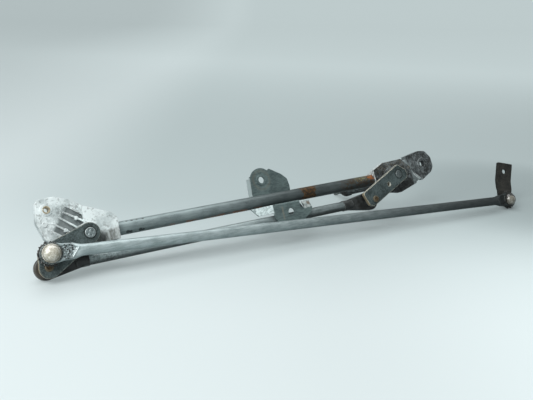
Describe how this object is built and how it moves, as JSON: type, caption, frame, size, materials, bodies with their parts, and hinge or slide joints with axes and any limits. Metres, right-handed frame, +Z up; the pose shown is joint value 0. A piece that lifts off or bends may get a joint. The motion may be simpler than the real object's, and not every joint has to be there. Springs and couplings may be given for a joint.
{
  "type": "wiper linkage",
  "caption": "Windscreen wiper linkage: a tubular frame with cast pivot housings, paired levers, a link rod, and a drive rod with its motor crank arm.",
  "frame": {"origin": "on the surface it lies on, under the middle of its outer box", "axes": "+X along the drive rod and frame tube to the right, +Z up, -Y towards the viewer"},
  "size_m": [0.8369, 0.2027, 0.1014],
  "materials": {
    "tube_steel": "plain steel tube, dull, with rust at the bracket and the right end",
    "left_casting": "light die casting",
    "right_casting": "die casting, dirty",
    "bracket_steel": "pressed sheet, grey",
    "brass": "dull yellow metal",
    "bronze": "sintered bronze",
    "seal_rubber": "black rubber, greasy",
    "cap_rubber": "black rubber",
    "shaft_steel": "turned steel",
    "washer_plastic": "pale plastic",
    "spring_steel": "dark spring steel",
    "lever_steel": "dark grey steel plate",
    "stud_steel": "steel, brown with grease",
    "rod_steel": "drawn steel tube, satin",
    "moulded_black": "black moulding",
    "socket_plastic": "greasy off-white",
    "crank_steel": "black coated steel"
  },
  "bodies": {
    "frame": {"frame_tube": "tube_steel", "left_pivot_housing": "left_casting", "right_pivot_housing": "right_casting", "middle_bracket": "bracket_steel", "left_ear_sleeve": "brass", "left_lever_side_bush": "bronze", "left_arm_side_bush": "bronze", "right_lever_side_bush": "bronze", "right_arm_side_bush": "bronze", "left_rain_cap": "cap_rubber", "right_rain_cap": "cap_rubber"},
    "left_lever_and_shaft": {"left_pivot_shaft": "shaft_steel", "left_lever": "lever_steel", "left_drive_stud": "stud_steel", "left_link_stud": "stud_steel", "left_thrust_washer": "washer_plastic", "left_shim": "shaft_steel", "left_circlip": "spring_steel"},
    "right_lever_and_shaft": {"right_pivot_shaft": "shaft_steel", "right_lever": "lever_steel", "right_link_stud": "stud_steel", "right_thrust_washer": "washer_plastic", "right_shim": "shaft_steel", "right_circlip": "spring_steel"},
    "link_rod_assembly": {"link_rod": "rod_steel", "link_rod_left_end": "moulded_black", "link_rod_right_end": "moulded_black"},
    "drive_rod_assembly": {"drive_rod": "rod_steel", "drive_rod_left_socket": "socket_plastic", "drive_rod_right_socket": "socket_plastic", "drive_rod_left_seal": "seal_rubber", "drive_rod_right_seal": "seal_rubber"},
    "motor_crank": {"crank_arm": "crank_steel", "crank_stud": "stud_steel"}
  },
  "joints": [
    {"name": "left_pivot", "type": "hinge", "parent": "frame", "child": "left_lever_and_shaft", "pos_m": [-0.35046, -0.03383, 0.04076], "axis": [-0.0214, -0.9063, 0.4221], "range_deg": [-1, 110]},
    {"name": "right_pivot", "type": "hinge", "parent": "frame", "child": "right_lever_and_shaft", "pos_m": [0.14191, -0.03383, 0.0657], "axis": [-0.0214, -0.9063, 0.4221], "range_deg": [-1, 110]},
    {"name": "link_ball", "type": "hinge", "parent": "left_lever_and_shaft", "child": "link_rod_assembly", "pos_m": [-0.40435, -0.05694, 0.01448], "axis": [-0.0214, -0.9063, 0.4221], "range_deg": [-110, 1]},
    {"name": "drive_ball", "type": "hinge", "parent": "left_lever_and_shaft", "child": "drive_rod_assembly", "pos_m": [-0.40385, -0.08181, 0.04236], "axis": [-0.0214, -0.9063, 0.4221], "range_deg": [-110, 1]},
    {"name": "crank_ball", "type": "hinge", "parent": "drive_rod_assembly", "child": "motor_crank", "pos_m": [0.37924, -0.09014, 0.01651], "axis": [-0.0214, -0.9063, 0.4221], "continuous": true}
  ],
  "couplings": [
    {"joint": "right_pivot", "follows": "left_pivot", "ratio": 1},
    {"joint": "link_ball", "follows": "left_pivot", "ratio": -1},
    {"joint": "drive_ball", "follows": "left_pivot", "ratio": -1}
  ]
}
